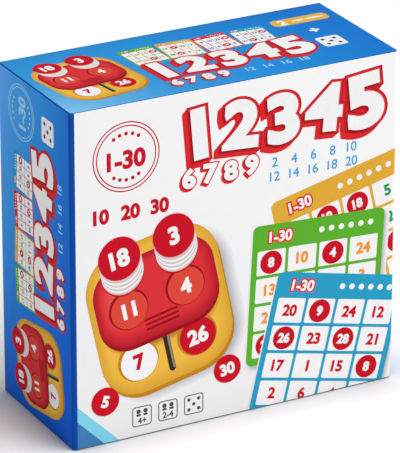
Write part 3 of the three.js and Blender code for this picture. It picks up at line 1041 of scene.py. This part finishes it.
class BINGO_OT_lid_shell(Operator):
    """Builds the lid: greyboard walls under the printed wrap, turned in at the open rim"""

    bl_idname = "bingo.lid_shell"
    bl_label = "Lid shell"

    def execute(self, context):
        settings = context.scene.bingo_box
        shell = bmesh.new()
        outer = box_solid(shell, LID_LOW, LID_HIGH)
        front = [face for face in outer if face.normal.y < -FACING_SHARE]
        back = [face for face in outer if face.normal.y > FACING_SHARE]
        round_off(shell, edges_along(front, UP), settings.upright_radius, steps=5)
        folds = [
            edge
            for edge in shell.edges
            if is_fold(edge) and not any(face in back for face in edge.link_faces)
        ]
        round_off(shell, folds, settings.fold_radius, steps=3)
        wall = settings.wall
        inner_low = LID_LOW + Vector((wall, wall, wall))
        inner_high = Vector((LID_HIGH.x - wall, LID_HIGH.y, LID_HIGH.z - wall))
        inner = box_solid(shell, inner_low, inner_high)
        round_off(shell, edges_along(inner, BACK), settings.fold_radius, steps=3)
        self.open_rim(shell)
        bmesh.ops.recalc_face_normals(shell, faces=shell.faces)
        rim = [
            edge
            for edge in shell.edges
            if is_fold(edge) and all(vert.co.y > LID_HIGH.y - PLANE_SLACK for vert in edge.verts)
        ]
        round_off(shell, rim, settings.rim_radius, steps=2)
        turn_in_line = Vector((0, LID_HIGH.y - settings.turn_in, 0))
        cut(shell, turn_in_line, BACK, POINT_SLACK)
        gloss = context.scene.bingo_print.gloss
        finishes = {
            "front": paper_material("front_paper", tuple(settings.front_white), 0.42, gloss),
            "top": top_wrap_material(),
            "side": side_wrap_material(),
            "lining": paper_material("lid_lining", tuple(settings.lining), 0.8),
            # Folds are painted darker as shade: deeper blue over the rounded edges and grey at the foot
            "fold_shade": fold_wrap_material(),
            "foot": paper_material("foot_fold_shade", tone(112, 112, 114), 0.7),
        }
        names = list(finishes)
        for face in shell.faces:
            finish = self.finish_of(face, inner_low, inner_high, turn_in_line.y)
            face.material_index = names.index(finish)
        piece = make_piece("lid_shell", shell, finishes.values(), "lid", ["box_lid"])
        smooth_by_angle(piece, degrees=40)
        return {"FINISHED"}

    def open_rim(self, shell):
        """Takes the two end faces off the back and fills the flat rim between their outlines."""
        back_verts = {vert for vert in shell.verts if vert.co.y > LID_HIGH.y - POINT_SLACK}
        ends = [face for face in shell.faces if back_verts.issuperset(face.verts)]
        bmesh.ops.delete(shell, geom=ends, context="FACES_ONLY")
        outlines = [edge for edge in shell.edges if edge.is_boundary]
        bmesh.ops.triangle_fill(shell, use_beauty=True, use_dissolve=False, edges=outlines, normal=BACK)

    def finish_of(self, face, inner_low, inner_high, turn_in_y):
        """The name of a face's finish, from where it lies and where it points."""
        centre = face.calc_center_median()
        across, depth, rise = face.normal
        is_inside = centre.y > inner_low.y - PLANE_SLACK and all(
            inner_low[i] - PLANE_SLACK < centre[i] < inner_high[i] + PLANE_SLACK for i in (0, 2)
        )
        if is_inside:
            return "lining" if centre.y < turn_in_y else "side"
        # The front's paper goes round the folds at the right and at the foot, where it is painted grey
        # as contact shade
        if depth < -NORMAL_SLACK and across > -NORMAL_SLACK and rise < FRONT_PAPER_RISE:
            return "foot" if rise < FOOT_SHADE_RISE else "front"
        if rise > TOP_FACE_RISE:
            return "top"
        is_flat = max(abs(part) for part in face.normal) > FLAT_SHARE
        # Other folds are painted a deeper blue, as the shade over their rounding
        return "side" if is_flat or depth > PLAIN_FOLD_DEPTH else "fold_shade"


class BINGO_OT_front_print(Operator):
    """Prints the lid's front: title numbers, badge, boards, dispenser and signs"""

    bl_idname = "bingo.front_print"
    bl_label = "Front print"

    def execute(self, context):
        radius = context.scene.bingo_box.upright_radius / MM
        page = Page("front_print", LID_LOW, RIGHT, UP, LID_SIZE.x / MM, LID_SIZE.z / MM, LID_BORDER)
        page.low.x = radius
        page.bend_start = page.width - radius
        page.bend_radius = radius
        page.high.x = page.bend_start + BEND_REACH_SHARE * radius
        print_badge(page, turned(41, 208), radius=25, ink="badge_red")
        print_title(page, turned(96, 214), pitch=32, height=34, level=1)
        print_small_title(page, turned(88, 183), pitch=16, height=13, level=6, lift=1)
        for numbers, y in ((range(2, 11, 2), 182.5), (range(12, 21, 2), 172)):
            print_row(page, numbers, turned(154, y), pitch=15, height=7, ink="line_blue", bold=0.02)
        tens = range(10, 31, 10)
        print_row(page, tens, turned(22, 168), pitch=22, height=10, ink="badge_red", bold=0.07)
        self.print_boards(page)
        print_dispenser(page, turned(66, 92, 12), level=3)
        print_token(page, "5", turned(24, 32, -14), radius=10.5, level=18)
        print_token(page, "30", turned(118, 36, 10), radius=10.5, level=16)
        self.print_corner(page)
        print_sign(page, turned(52, 15), side=15, body="4+")
        print_sign(page, turned(72, 15), side=15, body="2-4")
        print_pips(page, turned(92, 15), side=15)
        page.finish("lid", "printed_wrap")
        return {"FINISHED"}

    def print_boards(self, page):
        """Three playing boards in a fan that runs off the right edge and the foot."""
        fan = (
            ("orange", turned(213, 113, 13), {1, 2, 6, 11}, 3),
            ("green", turned(187, 83, -3), {0, 2, 5, 10, 12}, 10),
            ("blue", turned(197, 38, -13), {1, 4, 6, 11}, 17),
        )
        for number, (scheme, place, marked, level) in enumerate(fan):
            print_card(page, place, (104, 104), scheme, board_numbers(number + 3), marked, level)

    def print_corner(self, page):
        """Plain two-tone stripes across the lower left corner."""
        page.patch(tile(50, 50, 1), "corner_light", 1, turned(0, 0, 45))
        page.patch(tile(34, 34, 1), "corner_blue", 2, turned(0, 0, 45))


class BINGO_OT_strip_prints(Operator):
    """Prints the top and the two sides of the lid, each with the same strip of pictures"""

    bl_idname = "bingo.strip_prints"
    bl_label = "Top and side prints"

    def execute(self, context):
        width, depth, height = LID_SIZE / MM
        top_corner = Vector((LID_LOW.x, LID_LOW.y, LID_HIGH.z))
        right_corner = Vector((LID_HIGH.x, LID_LOW.y, LID_HIGH.z))
        top = Page("top_print", top_corner, RIGHT, BACK, width, depth, LID_BORDER)
        left = Page("left_print", LID_LOW, UP, BACK, height, depth, LID_BORDER)
        right = Page("right_print", right_corner, -UP, BACK, height, depth, LID_BORDER)
        self.print_strip(top, "pill")
        self.print_strip(left, "badge")
        self.print_strip(right, "badge")
        return {"FINISHED"}

    def print_strip(self, page, extra):
        """Dispenser, boards with the title over them, and signs."""
        print_dispenser(page, turned(40, 52, 8, scale=0.62), level=1, shade=False)
        for number, scheme in enumerate(("green", "orange", "red", "blue")):
            odd = number % 2
            spot = turned(92 + 28 * number, 72, -3 if odd else 4)
            numbers = board_numbers(number + 11, 8)
            marked = {number, 5} if odd else {6, 3}
            level = 1 + 5 * odd
            print_card(page, spot, (27, 30), scheme, numbers, marked, level, rows=2, shade=False)
        print_title(page, turned(90, 42), pitch=25.5, height=27, level=12)
        print_small_title(page, turned(88, 17), pitch=12, height=9.5, level=17)
        numbers = range(12, 19, 2)
        print_row(page, numbers, turned(144, 17), pitch=14, height=6, ink="pale_blue", bold=0.03)
        if extra == "pill":
            page.patch(tile(44, 12, 4), "yellow_5", 1, turned(220, 84))
            page.number("2", 8, "white", 2, turned(206, 84), bold=0.08)
            print_bars(page, turned(214, 84), lengths=(9, 14), height=2.4, ink="white", level=2)
            page.number("+", 9, "white", 1, turned(219, 62), bold=0.08)
            print_pips(page, turned(219, 38), side=18, ground="white")
        else:
            print_badge(page, turned(221, 74), radius=20, ink="pale_blue")
            print_pips(page, turned(221, 34), side=18, ground="white")
        page.finish("lid", "printed_wrap")


class BINGO_OT_tray_parts(Operator):
    """Dresses the tray and the folded platform"""

    bl_idname = "bingo.tray_parts"
    bl_label = "Tray and platform"

    def execute(self, context):
        tray_paper = paper_material("tray_paper", tone(238, 238, 235), 0.6)
        white_card = paper_material("platform_card", tone(243, 242, 236), 0.7)
        dress("box_tray", "tray_shell", tray_paper, "tray", "tray_board", TRAY_EDGE)
        dress("insert_platform", "platform_card", white_card, "tray", "white_card", PLATFORM_EDGE)
        return {"FINISHED"}


class BINGO_OT_boards(Operator):
    """Dresses the four playing boards and prints their grids"""

    bl_idname = "bingo.boards"
    bl_label = "Playing boards"

    def execute(self, context):
        edge = greyboard_material("board_edge")
        for number, node in enumerate(BOARD_NODES):
            scheme = node.split("_")[1]
            solid = merged_copy(node)
            for face in solid.faces:
                face.material_index = 0 if abs(face.normal.y) > FACING_SHARE else 1
            frame_ink = ink_material(SCHEMES[scheme][0])
            piece = make_piece(f"{node}_card", solid, [frame_ink, edge], "tray", [node])
            round_edges(piece, BOARD_EDGE, degrees=60)
            smooth_by_angle(piece)
            page = page_over(node, f"{node}_print")
            page.step = BOARD_INK_STEP
            centre = turned(page.width / 2, page.height / 2)
            size = (page.width - BOARD_RIMS, page.height - BOARD_RIMS)
            numbers = board_numbers(number + 21)
            print_card(page, centre, size, scheme, numbers, marked=(), level=0, shade=False)
            page.finish("tray", node)
        return {"FINISHED"}


class BINGO_OT_leaflet(Operator):
    """Dresses the folded leaflet and prints its lines and pictures"""

    bl_idname = "bingo.leaflet"
    bl_label = "Leaflet"

    def execute(self, context):
        paper = paper_material("leaflet_sheet", tone(247, 247, 242), 0.75)
        node = "rules_leaflet"
        piece = make_piece("leaflet_sheet", merged_copy(node), [paper], "tray", [node])
        round_edges(piece, LEAFLET_EDGE, segments=1)
        page = page_over(node, "leaflet_print")
        middle, top = page.width / 2, page.height
        page.number(RANGE_LABEL, 18, "badge_red", 1, turned(middle, top - 24), bold=0.06)
        source = random.Random(8)
        for line in range(12):
            lengths = [source.uniform(8, 22) for _ in range(5)]
            print_bars(page, turned(18, top - 50 - 7 * line), lengths, 2.2, "grey", 1)
        for side, scheme, seed, marked in ((-1, "green", 5, {2, 9}), (1, "blue", 6, {5, 11})):
            spot = turned(middle + 32 * side, 36)
            print_card(page, spot, (50, 52), scheme, board_numbers(seed), marked, 3)
        page.finish("tray", "leaflet_paper")
        return {"FINISHED"}


class BINGO_OT_dispenser(Operator):
    """Dresses the dispenser's base, its magazine, the keeper and the screws"""

    bl_idname = "bingo.dispenser"
    bl_label = "Dispenser"

    def execute(self, context):
        settings = context.scene.bingo_dispenser
        yellow = plastic_material("moulded_yellow", tuple(settings.base_yellow))
        red = plastic_material("moulded_red", tuple(settings.magazine_red))
        steel = steel_material()
        parts = (
            ("dispenser_base", "base_moulding", yellow, "tray", "yellow_plastic"),
            ("magazine", "magazine_moulding", red, "magazine", "red_plastic"),
            ("magazine_keeper", "keeper_plate", yellow, "magazine", "yellow_plastic"),
            ("keeper_screw_lower", "keeper_screw_low", steel, "magazine", "screw_steel"),
            ("keeper_screw_upper", "keeper_screw_high", steel, "magazine", "screw_steel"),
        )
        for part in parts:
            dress(*part, settings.edge_radius)
        return {"FINISHED"}


class BINGO_OT_tokens(Operator):
    """Builds the numbered tokens: red face, white back and a punched board edge"""

    bl_idname = "bingo.tokens"
    bl_label = "Tokens"

    def execute(self, context):
        materials = [ink_material("token_red"), greyboard_material("token_edge"), ink_material("white")]
        for number, node in enumerate(TOKEN_NODES, start=1):
            self.build_token(context, node, number, materials)
        return {"FINISHED"}

    def build_token(self, context, node, number, materials):
        """One token with its number raised by the thickness of the ink."""
        low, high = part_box(node)
        radius = (high.x - low.x) / 2
        facing = Matrix.Translation((low + high) / 2) @ Matrix.Rotation(math.pi / 2, 4, "X")
        token = bmesh.new()
        bmesh.ops.create_cone(
            token,
            cap_ends=True,
            radius1=radius,
            radius2=radius,
            depth=high.y - low.y,
            segments=TOKEN_SIDES,
            matrix=facing,
        )
        rims = [e for e in token.edges if abs(e.verts[0].co.y - e.verts[1].co.y) < POINT_SLACK]
        round_off(token, rims, context.scene.bingo_dispenser.token_edge, steps=2)
        for face in token.faces:
            depth = face.normal.y
            face.material_index = 0 if depth < -FACING_SHARE else 2 if depth > FACING_SHARE else 1
        page = page_over(node, "token_print")
        centre = turned(radius / MM, radius / MM)
        page.number(str(number), TOKEN_DIGITS, "white", 2, centre, bold=0.07)
        page.patch(band(disc(TOKEN_RING), TOKEN_RING_LINE), "white", 2, centre)
        white = page.inks["white"]
        bmesh.ops.transform(white, matrix=page.place, verts=white.verts)
        for face in white.faces:
            face.material_index = 2
        move_into(token, white)
        body = "magazine" if node in frame["record"]["behaviour"]["bodies"]["magazine"] else "tray"
        piece = make_piece(f"{node}_disc", token, materials, body, [node])
        smooth_by_angle(piece, degrees=30)


class BINGO_OT_stage(Operator):
    """Sets up the white floor, the soft lights and the camera"""

    bl_idname = "bingo.stage"
    bl_label = "Stage"

    def execute(self, context):
        settings = context.scene.bingo_stage
        floor = bmesh.new()
        bmesh.ops.create_grid(floor, x_segments=4, y_segments=4, size=settings.floor_width / 2)
        piece = add_object("floor", mesh_of(floor, "floor"))
        piece.data.materials.append(floor_material())
        self.add_key(settings)
        self.add_surround(context, settings.sky)
        self.add_camera(context, settings)
        context.scene.view_settings.view_transform = "Standard"
        return {"FINISHED"}

    def add_key(self, settings):
        """A far, wide light with the same strength everywhere."""
        light = bpy.data.lights.new("key_light", "SUN")
        light.angle = settings.key_spread
        light.energy = settings.key_power
        lamp = add_object("key_light", light)
        lamp.location = settings.key_from
        lamp.rotation_mode = "QUATERNION"
        lamp.rotation_quaternion = (-Vector(settings.key_from)).to_track_quat("-Z", "Y")

    def add_surround(self, context, strength):
        """An even white surround."""
        world = bpy.data.worlds.new("surround")
        world.use_nodes = True
        set_inputs(world.node_tree.nodes["Background"], Color=(1, 1, 1, 1), Strength=strength)
        context.scene.world = world

    def add_camera(self, context, settings):
        """The camera at the photograph's angle."""
        camera = bpy.data.cameras.new("camera")
        camera.lens = settings.lens
        camera.sensor_width = 36
        camera.clip_start = 0.1
        camera.clip_end = 50
        holder = add_object("camera", camera)
        holder.location = settings.place
        ahead = Vector((math.sin(settings.yaw), math.cos(settings.yaw), -math.tan(settings.pitch)))
        roll = Matrix.Rotation(settings.roll, 4, "Z").to_quaternion()
        holder.rotation_mode = "QUATERNION"
        holder.rotation_quaternion = ahead.to_track_quat("-Z", "Y") @ roll
        context.scene.camera = holder


OPERATORS = (
    BINGO_OT_stage,
    BINGO_OT_lid_shell,
    BINGO_OT_front_print,
    BINGO_OT_strip_prints,
    BINGO_OT_tray_parts,
    BINGO_OT_boards,
    BINGO_OT_leaflet,
    BINGO_OT_dispenser,
    BINGO_OT_tokens,
)

SETTINGS = {
    "bingo_box": BoxSettings,
    "bingo_print": PrintSettings,
    "bingo_dispenser": DispenserSettings,
    "bingo_stage": StageSettings,
}


class BINGO_PT_pieces(Panel):
    """Lists the pieces of the boxed game and their settings"""

    bl_idname = "BINGO_PT_pieces"
    bl_label = "Bingo game"
    bl_space_type = "VIEW_3D"
    bl_region_type = "UI"
    bl_category = "Bingo game"

    def draw(self, context):
        for operator in OPERATORS:
            self.layout.operator(operator.bl_idname)
        for name, group in SETTINGS.items():
            box = self.layout.box()
            box.label(text=group.__doc__)
            for field in group.__annotations__:
                box.prop(getattr(context.scene, name), field)


def register():
    """Makes the settings, the operators and the panel known to Blender."""
    for group in SETTINGS.values():
        bpy.utils.register_class(group)
    for name, group in SETTINGS.items():
        setattr(bpy.types.Scene, name, PointerProperty(type=group))
    for kind in (*OPERATORS, BINGO_PT_pieces):
        bpy.utils.register_class(kind)


def unregister():
    """Takes them away again."""
    for kind in (BINGO_PT_pieces, *reversed(OPERATORS)):
        bpy.utils.unregister_class(kind)
    for name in SETTINGS:
        delattr(bpy.types.Scene, name)
    for group in reversed(SETTINGS.values()):
        bpy.utils.unregister_class(group)


def main():
    register()
    for operator in OPERATORS:
        group, name = operator.bl_idname.split(".")
        getattr(getattr(bpy.ops, group), name)()
    bpy.context.view_layer.update()


if __name__ == "__main__":
    main()
